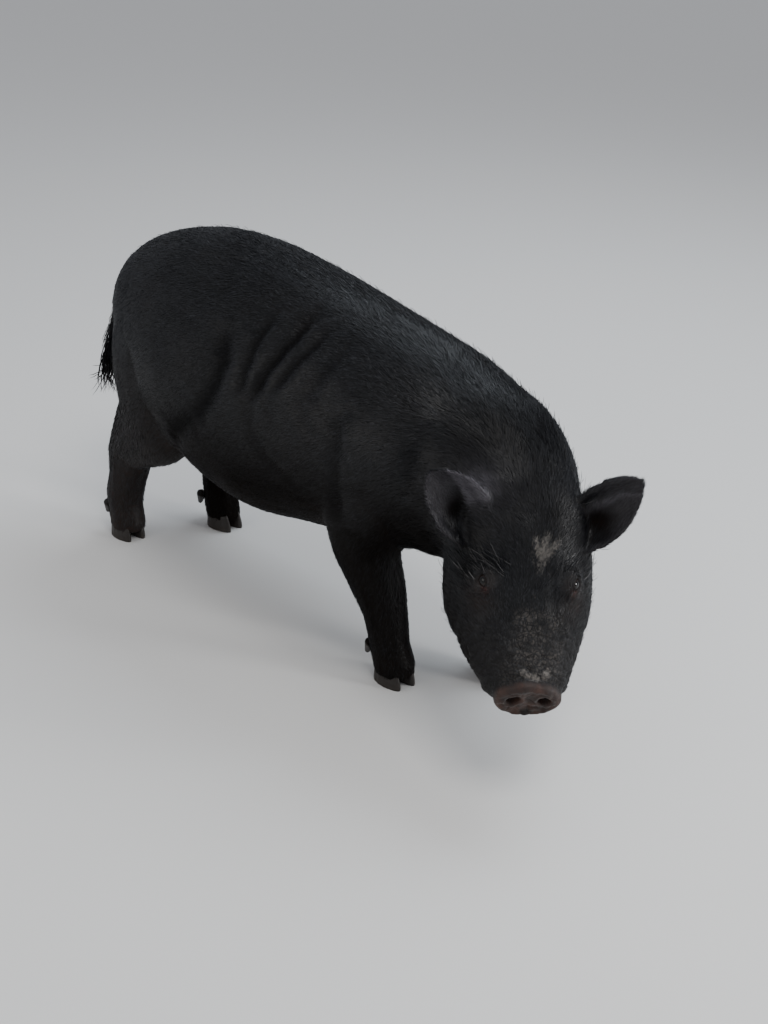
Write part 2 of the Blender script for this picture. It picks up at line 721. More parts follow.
print("markings")
regions = regionPoints()
regionNames = list(regions)
distances = np.stack([nearest(points, regions[n]) for n in regionNames], axis=1)
weights = np.exp(-(distances - distances.min(axis=1, keepdims=True)) / skinSizes["regionBlend"])
weights /= weights.sum(axis=1, keepdims=True)
weight = {n: weights[:, i] for i, n in enumerate(regionNames)}
label = distances.argmin(axis=1)
out = normals(mesh)
local = inHead(points)
x, y, z = points.T


def lieOfFace():
    # Back from the snout and down the cheeks, in a whorl on the forehead, and away from each eye.
    lx, ly, lz = local.T
    down = 0.10 - 0.9 * smoothStep(0.0, -0.05, lz)
    way = np.stack([-np.ones_like(lx), 0.55 * np.clip(ly / 0.05, -1, 1), down], axis=1)
    fan = 0.6 * bell(np.hypot(lx + 0.018, ly * 0.9), 0.035) * smoothStep(0.0, 0.02, lz)
    spread = np.stack([lx + 0.010, ly * 1.2, 0 * lx], axis=1) * 26
    way = way * (1 - fan[:, None]) + spread * fan[:, None]
    way = way @ headAxes.T
    for centre in eyeCentres():
        rel = points - centre
        near = 0.6 * smoothStep(0.020, 0.012, np.linalg.norm(rel, axis=1))[:, None]
        way = unit(way) * (1 - near) + unit(rel - out * (rel * out).sum(axis=1, keepdims=True)) * near
    return way


def lieOfBrows():
    # Long brow hairs sweep up off the eye, out and back.
    way = np.stack([-np.ones_like(x), 0.85 * np.sign(local[:, 1]), 0 * x], axis=1) @ headAxes.T
    return unit(way - out * (way * out).sum(axis=1, keepdims=True))


def lieOfCoat():
    lateral = np.clip(np.abs(y) / 0.10, 0, 1)
    fall = -0.10 - 0.42 * lateral - 0.5 * smoothStep(-0.12, -0.25, x)
    along = {"trunk": np.stack([-np.ones_like(x), 0 * x, fall], axis=1)}
    back = unit(np.array([[-1.0, 0.25, 0.10]]))
    along["neck"] = back + np.stack([0 * x, 0 * x, -0.45 * lateral], axis=1)
    along["head"] = lieOfFace()
    for word in ("left", "right"):
        root, tip = earAxes(word)[:2]
        along[word + "Ear"] = np.tile(headAxes @ np.array(tip - root), (len(x), 1))
    for name in legs["feet"]:
        along[name] = np.tile([-0.25, 0.0, -1.0], (len(x), 1))
    along["tail"] = np.tile([-0.10, 0.0, -1.0], (len(x), 1))
    lie = sum(weight[n][:, None] * unit(along[n]) for n in regionNames)
    swirl = 0.15 * ripple(points, 0.060, 21) + 0.13 * ripple(points, 0.022, 22)
    lie = lie + np.cross(out, lie) * swirl[:, None]
    return unit(lie - out * (lie * out).sum(axis=1, keepdims=True))


lie = lieOfCoat()
legWeight = sum(weight[n] for n in legs["feet"])
earWeight = weight["leftEar"] + weight["rightEar"]
headWeight = weight["head"]
lx, ly, lz = local.T
acrossDisc, upDisc, aheadDisc = onDisc(local)
discRim = np.hypot(acrossDisc / (snout["width"] / 2), upDisc / (snout["height"] / 2))
muzzle = smoothStep(0.030, 0.070, lx) * headWeight
noseFront = (lz > -0.053) * (headWeight > 0.3)
disc = smoothStep(-0.0085, -0.0030, aheadDisc) * noseFront
lips = bell(fromLine(local, mouthLine()), 0.004) * smoothStep(0.040, 0.050, lx)
lid = bell(np.maximum(nearEye - 0.0100, 0), 0.0030)
crest = bell(y + 0.01 * smoothStep(0.25, 0.35, x), 0.040) * smoothStep(0.30, 0.34, z)
crest *= smoothStep(-0.20, 0.02, x)
crest = np.maximum(crest, 0.9 * weight["neck"] * smoothStep(0.24, 0.30, z))
belly = smoothStep(0.0, -0.75, out[:, 2]) * weight["trunk"]
earInside = np.zeros(len(x))
earRim = np.zeros(len(x))
hollow = np.zeros(len(x))
pockets = np.zeros(len(x))
turnedAll = np.zeros(len(x))
earRows = np.array(ear["rows"])
for word in ("left", "right"):
    root, tip, across, facing = (np.array(v) for v in earAxes(word))
    mine = weight[word + "Ear"]
    share = (local - root) @ (tip - root) / ((tip - root) @ (tip - root))
    half = np.interp(share, earRows[:, 0], earRows[:, 1]) * ear[word]["wide"] / 2
    sway = np.interp(share, earRows[:, 0], earRows[:, 4]) * ear[word]["sway"]
    spread = ((local - root) @ across - sway) / half
    turned = smoothStep(-0.1, 0.4, out @ (headAxes @ facing))
    earInside += mine * turned
    turnedAll += np.clip(3 * mine, 0, 1) * turned
    near = np.clip(3 * mine, 0, 1)
    if word == "right":
        band = smoothStep(-0.16, -0.40, spread)
    else:
        edge = -0.50 - 0.46 * smoothStep(0.20, 0.85, share)
        band = 0.55 * bell(spread - edge, 0.17)
    earRim += near * np.maximum(band, 0.35 * smoothStep(0.78, 0.94, spread))
    hollow += mine * smoothStep(0.62, 0.30, share + 0.35 * np.abs(spread + 0.10))
    spot = root + 0.20 * (tip - root) + across * 0.002
    pocket = bell(np.linalg.norm(local - spot, axis=1), 0.0105) * turned
    pockets += pocket * (1 - smoothStep(-0.52, -0.78, spread) * mine)
innerCorner = np.zeros(len(x))
for centre, side in zip(eyeCentres(), (1, -1)):
    along, up, outward = eyeAxes(side)
    spot = centre + (along * 0.74 - up * 0.10 + outward * 0.62) * (eye["radius"] + eye["lid"])
    innerCorner += bell(np.linalg.norm(points - spot, axis=1), 0.0026)
pouch = bell(np.linalg.norm(np.stack([lx - 0.016, np.abs(ly) - 0.044, lz + 0.004], axis=1), axis=1), 0.014)
nearHind = weight["leg_hind_right"]
under = np.maximum(smoothStep(0.25, -0.35, out[:, 2]) * smoothStep(0.30, 0.18, z), 0.80 * legWeight)
under = np.maximum(under, 0.95 * smoothStep(0.27, 0.18, z) * weight["trunk"])
under = np.maximum(under, weight["leg_hind_left"]) * (1 - 0.9 * nearHind)
nape = bell(np.linalg.norm(np.stack([x - 0.342, y + 0.036, z - 0.288], axis=1), axis=1), 0.046)
under = np.maximum(under, 0.85 * nape)
under = under * (1 - headWeight) + headWeight * 0.8 * smoothStep(-0.012, -0.045, lz)
dull = bell(np.hypot(lx + 0.042, ly - 0.030), 0.024) + 0.7 * bell(np.hypot(lx - 0.030, ly - 0.027), 0.014)
under = np.maximum(under, 0.62 * np.clip(dull, 0, 1) * headWeight * smoothStep(-0.030, -0.010, lz))

length = 0.0082 + 0.0048 * crest
# the hair is short over the folds of the side, which show through it
creased = bell(np.hypot(x - 0.095, z - 0.312), 0.060) * (y < 0)
length *= 1 - 0.36 * creased
length = length * (1 - 0.25 * belly)
length = length * (1 - legWeight) + legWeight * (0.0055 + 0.0030 * smoothStep(0.05, 0.15, z))
faceLength = 0.0062 - 0.0034 * smoothStep(0.01, 0.06, lx) + 0.003 * smoothStep(-0.03, -0.08, lx)
length = length * (1 - headWeight) + headWeight * faceLength
length = length * (1 - earWeight) + earWeight * (0.0055 - 0.0015 * earInside)
length = length * (1 - weight["tail"]) + weight["tail"] * (0.009 + 0.034 * smoothStep(0.245, 0.205, z))
length *= 1 - 0.50 * lid
density = 1.0 + 0.6 * crest - 0.35 * belly + 0.5 * weight["neck"] + 0.9 * headWeight
density = density + 0.4 * legWeight + 0.8 * earWeight
density = density * (1 - weight["tail"]) + weight["tail"] * (0.7 + 2.2 * smoothStep(0.260, 0.215, z))
density *= 1 - smoothStep(-0.0085, -0.0010, aheadDisc) * noseFront
density *= 1 - 0.85 * lips
density *= 1 - 0.45 * pouch
density *= (1 + 0.8 * lid) * smoothStep(0.0100, 0.0112, nearEye)
density *= 1 - 0.70 * earInside * (1 - 0.7 * earRim)
density = np.where((z < 0.016) & (legWeight > 0.3), 0.0, density)
browDensity = bell(nearEye - 0.0160, 0.0055) * headWeight * smoothStep(0.008, -0.008, lx)
browDensity *= 0.22 + 0.78 * (ly < 0)
lift = 0.06 + 0.07 * crest * smoothStep(0.0, 0.25, x) + 0.05 * weight["neck"] + 0.03 * legWeight
lift = lift + 0.07 * earWeight + 0.10 * weight["tail"]


def streak(spots, half):
    # Along a line drawn over the top of the head as x, y, x, y ...
    away = fromLine(np.stack([lx, ly], axis=1), pairs(spots))
    return bell(away, half) * smoothStep(-0.030, -0.010, lz) * headWeight


# dried mud over the bridge of the nose, and pale dust on its top and in the forehead's whorl
inBox = smoothStep(0.022, 0.036, lx) * smoothStep(0.086, 0.072, lx)
inBox *= smoothStep(-0.020, -0.006, ly + 0.003 * ripple(points, 0.020, 31))
inBox *= smoothStep(0.036, 0.018, ly + 0.003 * ripple(points, 0.016, 32))
mud = inBox * smoothStep(-0.035, -0.020, lz) * headWeight
mud = np.maximum(mud, 0.45 * smoothStep(0.055, 0.080, lx) * smoothStep(0.030, 0.020, np.abs(ly)) * (1 - disc))
topOfNose = bell(lx - 0.0825 + 0.0025 * ripple(points, 0.018, 33), 0.0085)
topOfNose *= smoothStep(-0.022, -0.006, ly) * smoothStep(0.032, 0.018, ly) * smoothStep(-0.026, -0.008, lz)
dust = topOfNose * (0.86 + 0.26 * ripple(points, 0.013, 34))
for spots, half, amount in (
    ((-0.0235, 0.0015, -0.0120, 0.0060), 0.0046, 1.40), ((-0.0265, 0.0105, -0.0110, 0.0085), 0.0048, 1.50),
    ((-0.0250, 0.0210, -0.0115, 0.0120), 0.0046, 1.35), ((-0.0135, 0.0085, -0.0010, 0.0065), 0.0064, 1.20),
    ((-0.0150, -0.0030, -0.0040, 0.0020), 0.0046, 0.80), ((-0.0010, 0.0060, 0.0200, 0.0020), 0.0056, 0.74),
    ((0.0200, 0.0020, 0.0420, 0.0060), 0.0060, 0.62),
):
    dust = np.maximum(dust, amount * streak(spots, half))
upper = smoothStep(-0.004, 0.008, upDisc) * smoothStep(-0.010, -0.004, aheadDisc)
dust = np.maximum(dust, 0.50 * bell(discRim - 0.97, 0.16) * upper * (0.7 + 0.3 * ripple(points, 0.012, 35)))
dust = np.clip(dust, 0, 1)
dust = np.maximum(dust, 0.30 * smoothStep(0.045, 0.010, z))
dust = np.maximum(dust, 0.10 * weight["trunk"] * smoothStep(0.2, 0.9, out[:, 2]))
bare = np.clip(np.maximum(disc, 0.45 * muzzle) + 0.7 * pouch + 0.9 * nearHind, 0, 1)
warm = np.clip(np.maximum(disc * (0.70 + 0.30 * ripple(points, 0.015, 36)), 0.05 * lid) + 0.34 * pouch, 0, 1)
warm = np.maximum(warm, 0.24 * nearHind)
warm = np.maximum(warm, 0.30 * pockets * weight["leftEar"])
density *= 1 - 0.55 * mud
density *= 1 - 0.75 * np.clip(pockets, 0, 1)
# greyish skin and fine hair inside the ears and along their rims, dark in the pocket
inner = 0.46 * weight["rightEar"] + 0.28 * weight["leftEar"]
grey = np.clip(np.maximum(earInside * (1 - hollow) * inner, turnedAll * earRim), 0, 1)
grey *= 1 - np.clip(1.2 * pockets, 0, 1)
fold = np.clip(foldDepth * weight["trunk"] + hollow * earInside * (1 - earRim) + 1.4 * pockets, -1, 1.08)


def addFloat(name, values):
    made = mesh.attributes.new(name, "FLOAT", "POINT")
    made.data.foreach_set("value", np.asarray(values, np.float32))


def addVector(name, values):
    made = mesh.attributes.new(name, "FLOAT_VECTOR", "POINT")
    made.data.foreach_set("vector", np.asarray(values, np.float32).ravel())


def faceArrays():
    count = len(mesh.polygons)
    starts = np.empty(count, np.int32)
    totals = np.empty(count, np.int32)
    mesh.polygons.foreach_get("loop_start", starts)
    mesh.polygons.foreach_get("loop_total", totals)
    corner = np.empty(len(mesh.loops), np.int32)
    mesh.loops.foreach_get("vertex_index", corner)
    flat = np.empty(count * 3, np.float32)
    mesh.polygons.foreach_get("normal", flat)
    return starts, totals, corner, flat.reshape(-1, 3)


patches = {
    "back": 0, "flankRightFore": 1, "flankRightHind": 2, "flankLeftFore": 3, "flankLeftHind": 4,
    "belly": 5, "neck": 6, "face": 7, "ears": 8, "legsFront": 9, "legsHind": 10, "tail": 11,
}
patchEdges = {"fore": -0.02, "side": 0.62, "belly": -0.55}  # an x, and how far up a face may look


def unwrapSkin():
    # Six flat views of each region, packed in a grid of squares.
    starts, totals, corner, facing = faceArrays()
    faceLabel = label[corner[starts]]
    axis = np.abs(facing).argmax(axis=1)
    way = axis * 2 + (np.take_along_axis(facing, axis[:, None], 1)[:, 0] > 0)
    cell = faceLabel * 6 + way
    cellOf = np.repeat(cell, totals)
    axisOf = np.repeat(axis, totals)
    labelOf = np.repeat(faceLabel, totals)
    spots = points[corner]
    pair = np.array([(1, 2), (0, 2), (0, 1)])[axisOf]
    flat = np.take_along_axis(spots, pair, 1)
    grid = math.ceil(math.sqrt(len(regionNames) * 6))
    uv = np.zeros((len(corner), 2), np.float32)
    for i in range(len(regionNames)):
        mine = labelOf == i
        low, high = spots[mine].min(axis=0), spots[mine].max(axis=0)
        size = (high - low).max() * 1.05
        uv[mine] = (flat[mine] - np.take_along_axis(np.tile(low, (mine.sum(), 1)), pair[mine], 1)) / size
    inner, margin = 0.94, 0.03
    uv = (uv * inner + margin + np.stack([cellOf % grid, cellOf // grid], axis=1)) / grid
    place = mesh.attributes.new("skinPlace", "FLOAT2", "CORNER")
    place.data.foreach_set("vector", uv.astype(np.float32).ravel())
    patch = np.full(len(faceLabel), patches["back"], np.int32)
    names = np.array(regionNames)[faceLabel]
    centre = points[corner[starts]]
    fore = centre[:, 0] > patchEdges["fore"]
    for word, chosen in (
        ("flankRightFore", (centre[:, 1] < 0) & fore), ("flankRightHind", (centre[:, 1] < 0) & ~fore),
        ("flankLeftFore", (centre[:, 1] >= 0) & fore), ("flankLeftHind", (centre[:, 1] >= 0) & ~fore),
    ):
        patch[chosen & (facing[:, 2] < patchEdges["side"])] = patches[word]
    patch[facing[:, 2] < patchEdges["belly"]] = patches["belly"]
    for word, chosen in (
        ("neck", names == "neck"), ("face", names == "head"), ("ears", np.char.endswith(names, "Ear")),
        ("legsFront", np.char.startswith(names, "leg_front")),
        ("legsHind", np.char.startswith(names, "leg_hind")), ("tail", names == "tail"),
    ):
        patch[chosen] = patches[word]
    mesh.attributes.new("patch", "INT", "FACE").data.foreach_set("value", patch)


fields = {
    "furLength": length, "furDensity": np.clip(density, 0, 3.5), "furLift": lift, "browDensity": browDensity,
    "dust": dust, "mud": mud, "bare": bare, "warm": warm, "red": innerCorner, "under": under, "grey": grey,
    "wet": np.clip(0.42 * disc + 0.1 * lid + 0.4 * lips + innerCorner, 0, 1),
    "limb": np.clip(legWeight + weight["tail"], 0, 1), "fold": fold,
}
for word, values in fields.items():
    addFloat(word, values)
addVector("lie", lie)
addVector("browLie", lieOfBrows())
unwrapSkin()


def groupOf(name, inputs, outputs, treeKind="ShaderNodeTree"):
    group = bpy.data.node_groups.new(name, treeKind)
    for word, kind, value in inputs:
        socket = group.interface.new_socket(word, in_out="INPUT", socket_type=kind)
        if value is not None:
            socket.default_value = value
    for word, kind in outputs:
        group.interface.new_socket(word, in_out="OUTPUT", socket_type=kind)
    return group, group.nodes.new("NodeGroupInput"), group.nodes.new("NodeGroupOutput")


def nodeIn(tree, kind, values=None, **settings):
    made = tree.nodes.new(kind)
    for key, value in settings.items():
        setattr(made, key, value)
    for key, value in (values or {}).items():
        made.inputs[key].default_value = value
    return made


def join(tree, source, target):
    tree.links.new(source, target)


def attributeOf(tree, name):
    return nodeIn(tree, "ShaderNodeAttribute", attribute_name=name).outputs["Fac"]


def mathOf(tree, operation, a, b=None, clamp=False):
    made = nodeIn(tree, "ShaderNodeMath", operation=operation, use_clamp=clamp)
    for i, value in enumerate((a, b)):
        if value is None:
            continue
        if isinstance(value, (int, float)):
            made.inputs[i].default_value = value
        else:
            join(tree, value, made.inputs[i])
    return made.outputs[0]


def times(tree, a, b, clamp=False):
    return mathOf(tree, "MULTIPLY", a, b, clamp)


def plus(tree, a, b, clamp=False):
    return mathOf(tree, "ADD", a, b, clamp)


def minus(tree, a, b, clamp=False):
    return mathOf(tree, "SUBTRACT", a, b, clamp)


def lessOf(tree, name, share, clamp=False):
    # 1 less a share of an attribute.
    return minus(tree, 1.0, times(tree, attributeOf(tree, name), share), clamp)


def noiseOf(tree, scale, detail=3.0, rough=0.55, stretch=None, turn=None):
    place = nodeIn(tree, "ShaderNodeTexCoord").outputs["Object"]
    if stretch:
        mapping = nodeIn(tree, "ShaderNodeMapping")
        mapping.inputs["Scale"].default_value = stretch
        if turn:
            mapping.inputs["Rotation"].default_value = turn
        join(tree, place, mapping.inputs["Vector"])
        place = mapping.outputs["Vector"]
    made = nodeIn(tree, "ShaderNodeTexNoise", {"Scale": scale, "Detail": detail, "Roughness": rough})
    join(tree, place, made.inputs["Vector"])
    return made.outputs["Fac"]


def rampOf(tree, value, low, high):
    made = nodeIn(tree, "ShaderNodeMapRange", {"From Min": low, "From Max": high})
    made.interpolation_type = "SMOOTHSTEP"
    join(tree, value, made.inputs["Value"])
    return made.outputs["Result"]


def mixOf(tree, share, a, b):
    made = nodeIn(tree, "ShaderNodeMix", data_type="RGBA")
    for socket, value in zip([s for s in made.inputs if s.enabled], (share, a, b)):
        if isinstance(value, (int, float, tuple)):
            socket.default_value = value
        else:
            join(tree, value, socket)
    return [s for s in made.outputs if s.enabled][0]


def blendOf(tree, share, a, b):
    # The same for two values.
    first = times(tree, a, minus(tree, 1.0, share))
    return plus(tree, first, times(tree, b, share))


def cellsOf(tree, scale, distance):
    # 0 on the cracks between uneven cells and 1 on the cells.
    place = nodeIn(tree, "ShaderNodeTexCoord").outputs["Object"]
    wander = nodeIn(tree, "ShaderNodeTexNoise", {"Scale": scale * 0.7, "Detail": 3.0})
    join(tree, place, wander.inputs["Vector"])
    bend = nodeIn(tree, "ShaderNodeVectorMath", operation="MULTIPLY_ADD")
    join(tree, wander.outputs["Color"], bend.inputs[0])
    bend.inputs[1].default_value = (1.1 / scale,) * 3
    join(tree, place, bend.inputs[2])
    made = nodeIn(tree, "ShaderNodeTexVoronoi", {"Scale": scale}, feature="DISTANCE_TO_EDGE")
    join(tree, bend.outputs["Vector"], made.inputs["Vector"])
    return rampOf(tree, made.outputs["Distance"], 0.0, distance)


def dustGroup():
    # Pale dust, broken up, and dried mud in cracked plates, over any colour.
    group, start, end = groupOf(
        "driedDust",
        (("Colour", "NodeSocketColor", None), ("Dust Colour", "NodeSocketColor", (0.30, 0.25, 0.20, 1)),
         ("Mud Colour", "NodeSocketColor", (0.08, 0.066, 0.056, 1)),
         ("Amount", "NodeSocketFloat", 0.0), ("Mud", "NodeSocketFloat", 0.0)),
        (("Colour", "NodeSocketColor"), ("Cover", "NodeSocketFloat")),
    )
    fine, broad = noiseOf(group, 420.0, 5.0, 0.7), noiseOf(group, 60.0, 3.0)
    both = blendOf(group, 0.35, fine, broad)
    edge = minus(group, 0.86, times(group, start.outputs["Amount"], 0.50))
    gap = times(group, minus(group, both, edge), 4.5, clamp=True)
    thick = times(group, start.outputs["Amount"], 1.2, clamp=True)
    cover = times(group, gap, thick, clamp=True)
    plates = times(group, cellsOf(group, 240.0, 0.22), rampOf(group, broad, 0.36, 0.58))
    plates = times(group, plates, rampOf(group, fine, 0.32, 0.60))
    caked = times(group, plates, start.outputs["Mud"], clamp=True)
    muddy = mixOf(group, caked, start.outputs["Colour"], start.outputs["Mud Colour"])
    join(group, mixOf(group, cover, muddy, start.outputs["Dust Colour"]), end.inputs["Colour"])
    join(group, mathOf(group, "MAXIMUM", cover, caked), end.inputs["Cover"])
    return group


def markingGroup():
    # The colour of hide and hair: blue black above, brown black below, browner where it is warm or bare.
    group, start, end = groupOf(
        "hideMarking",
        (("Dark", "NodeSocketColor", (0.004, 0.004, 0.005, 1)),
         ("Brown", "NodeSocketColor", (0.02, 0.014, 0.011, 1)),
         ("Under Colour", "NodeSocketColor", (0.003, 0.002, 0.002, 1)),
         ("Warm Colour", "NodeSocketColor", (0.05, 0.022, 0.018, 1)),
         ("Red Colour", "NodeSocketColor", (0.16, 0.035, 0.026, 1)),
         ("Grey Colour", "NodeSocketColor", (0.03, 0.028, 0.033, 1))),
        (("Colour", "NodeSocketColor"),),
    )
    above = mixOf(group, attributeOf(group, "under"), start.outputs["Dark"], start.outputs["Under Colour"])
    sunk = times(group, attributeOf(group, "fold"), 0.85, clamp=True)
    base = mixOf(group, sunk, above, (0.0012, 0.0009, 0.0008, 1))
    patchy = times(group, rampOf(group, noiseOf(group, 14.0, 4.0), 0.42, 0.72), 0.22)
    browner = mathOf(group, "MAXIMUM", patchy, times(group, attributeOf(group, "bare"), 0.55))
    first = mixOf(group, browner, base, start.outputs["Brown"])
    blotch = plus(group, times(group, rampOf(group, noiseOf(group, 160.0), 0.35, 0.65), 0.5), 0.5)
    warmer = times(group, attributeOf(group, "warm"), blotch)
    second = mixOf(group, warmer, first, start.outputs["Warm Colour"])
    greyer = times(group, attributeOf(group, "grey"), plus(group, 0.55, times(group, blotch, 0.45)))
    third = mixOf(group, greyer, second, start.outputs["Grey Colour"])
    fourth = mixOf(group, attributeOf(group, "red"), third, start.outputs["Red Colour"])
    join(group, fourth, end.inputs["Colour"])
    return group


dustOver = dustGroup()
marking = markingGroup()


def material(name):
    made = bpy.data.materials.new(name)
    made.use_nodes = True
    return made, made.node_tree, made.node_tree.nodes["Principled BSDF"]


def markedColour(tree, colours, amount=1.0):
    hide = nodeIn(tree, "ShaderNodeGroup", node_tree=marking)
    over = nodeIn(tree, "ShaderNodeGroup", node_tree=dustOver)
    for word, colour in colours.items():
        (over if word in over.inputs else hide).inputs[word].default_value = colour
    join(tree, times(tree, attributeOf(tree, "dust"), amount), over.inputs["Amount"])
    join(tree, times(tree, attributeOf(tree, "mud"), amount), over.inputs["Mud"])
    join(tree, hide.outputs["Colour"], over.inputs["Colour"])
    return over


def bumpOf(tree, height, strength, distance, normal=None):
    made = nodeIn(tree, "ShaderNodeBump", {"Strength": strength, "Distance": distance})
    join(tree, height, made.inputs["Height"])
    if normal is not None:
        join(tree, normal, made.inputs["Normal"])
    return made.outputs["Normal"]


hideColours = {
    "Dark": (0.0052, 0.0050, 0.0054, 1), "Under Colour": (0.0040, 0.0026, 0.0020, 1),
    "Brown": (0.0110, 0.0078, 0.0064, 1), "Warm Colour": (0.044, 0.0195, 0.0130, 1),
    "Red Colour": (0.075, 0.019, 0.014, 1), "Grey Colour": (0.056, 0.049, 0.056, 1),
    "Dust Colour": (0.16, 0.145, 0.132, 1), "Mud Colour": (0.072, 0.064, 0.058, 1),
}
hairColours = {
    "Dark": (0.0058, 0.0060, 0.0072, 1), "Under Colour": (0.0042, 0.0030, 0.0023, 1),
    "Brown": (0.0105, 0.0082, 0.0072, 1), "Warm Colour": (0.026, 0.0150, 0.0120, 1),
    "Red Colour": (0.030, 0.012, 0.010, 1), "Grey Colour": (0.115, 0.108, 0.122, 1),
    "Dust Colour": (0.135, 0.125, 0.112, 1), "Mud Colour": (0.066, 0.059, 0.054, 1),
}


def glossOf(tree, above, below):
    # Less light comes back from below and from inside a fold, and more from a ridge.
    fold = mathOf(tree, "MAXIMUM", lessOf(tree, "fold", 0.9), 0.12)
    return times(tree, blendOf(tree, attributeOf(tree, "under"), above, below), fold)


def skinMaterial():
    made, tree, shader = material("hide")
    over = markedColour(tree, hideColours)
    join(tree, over.outputs["Colour"], shader.inputs["Base Color"])
    rough = plus(tree, 0.52, times(tree, noiseOf(tree, 180.0), 0.22))
    rough = minus(tree, rough, times(tree, attributeOf(tree, "wet"), 0.34))
    rough = plus(tree, rough, times(tree, over.outputs["Cover"], 0.35), clamp=True)
    join(tree, rough, shader.inputs["Roughness"])
    body = noiseOf(tree, 1.0, 4.0, 0.6, stretch=(70, 520, 520))
    limb = noiseOf(tree, 1.0, 4.0, 0.6, stretch=(520, 520, 80))
    first = bumpOf(tree, blendOf(tree, attributeOf(tree, "limb"), body, limb), 0.45, 0.0008)
    second = bumpOf(tree, cellsOf(tree, 620.0, 0.16), 0.30, 0.0004, first)
    third = bumpOf(tree, noiseOf(tree, 90.0, 5.0, 0.6), 0.40, 0.0016, second)
    join(tree, bumpOf(tree, over.outputs["Cover"], 0.6, 0.0006, third), shader.inputs["Normal"])
    gloss = plus(tree, glossOf(tree, 0.20, 0.03), times(tree, attributeOf(tree, "wet"), 0.3))
    join(tree, gloss, shader.inputs["Specular IOR Level"])
    return made


def hairMaterial(name, paleShare, paleColour):
    made, tree, shader = material(name)
    over = markedColour(tree, hairColours, 0.85)
    tone = attributeOf(tree, "tone")
    raised = times(tree, lessOf(tree, "fold", 0.8, clamp=True), lessOf(tree, "under", 0.6))
    pale = times(tree, times(tree, rampOf(tree, tone, 0.70, 1.0), paleShare), raised)
    join(tree, mixOf(tree, pale, over.outputs["Colour"], paleColour), shader.inputs["Base Color"])
    join(tree, plus(tree, 0.34, times(tree, tone, 0.18)), shader.inputs["Roughness"])
    join(tree, glossOf(tree, 0.30, 0.035), shader.inputs["Specular IOR Level"])
    shader.inputs["Sheen Weight"].default_value = 0.03
    shader.inputs["Sheen Roughness"].default_value = 0.4
    shader.inputs["Sheen Tint"].default_value = (0.50, 0.60, 0.85, 1)
    return made


print("looks")
hide = skinMaterial()
bristle = hairMaterial("bristle", 0.42, (0.044, 0.046, 0.054, 1))
lash = hairMaterial("lash", 0.9, (0.21, 0.202, 0.198, 1))
mesh.materials.clear()
mesh.materials.append(hide)
mesh.shade_smooth()


def strand(name, stations):
    # A thin closed blade one unit long, from rows of its share of the length, half width and height.
    bm = bmesh.new()
    root = bm.verts.new((stations[0][0], 0, stations[0][2]))
    end = bm.verts.new((stations[-1][0], 0, stations[-1][2]))
    rows = []
    for at, half, rise in stations[1:-1]:
        rows.append([bm.verts.new((at, -half, rise)), bm.verts.new((at, half, rise))])
    if len(rows) > 1:
        for row, (at, half, rise) in zip(rows, stations[1:-1]):
            row.append(bm.verts.new((at, 0, rise + strandRidge)))
        for a, b in zip(rows, rows[1:]):
            for i in range(3):
                bm.faces.new((a[i], a[(i + 1) % 3], b[(i + 1) % 3], b[i]))
        for i in range(3):
            bm.faces.new((root, rows[0][(i + 1) % 3], rows[0][i]))
            bm.faces.new((rows[-1][i], rows[-1][(i + 1) % 3], end))
    else:
        left, right = rows[0]
        bm.faces.new((root, right, end))
        bm.faces.new((root, end, left))
        bm.faces.new((root, left, right))
        bm.faces.new((end, right, left))
    place = bm.loops.layers.float_vector.new("strandPlace")
    for f in bm.faces:
        for loop in f.loops:
            loop[place] = (loop.vert.co.x - 0.5, loop.vert.co.y, 0)
    return objectFrom(bm, name)


strandRidge = 0.020
strandSpot = 0.003  # how much of the baked picture a strand spans
strands = {
    "short": ((-0.04, 0, -0.030), (0.34, 0.5, 0.036), (1.0, 0, 0.024)),
    "long": (
        (-0.03, 0, -0.030), (0.12, 0.5, 0.035), (0.42, 0.42, 0.095), (0.74, 0.26, 0.085), (1.0, 0, 0.030),
    ),
    "switch": (
        (-0.02, 0, -0.02), (0.10, 0.5, 0.03), (0.35, 0.5, 0.060), (0.6, 0.42, 0.050), (0.82, 0.25, 0.010),
        (1.0, 0, -0.05),
    ),
}


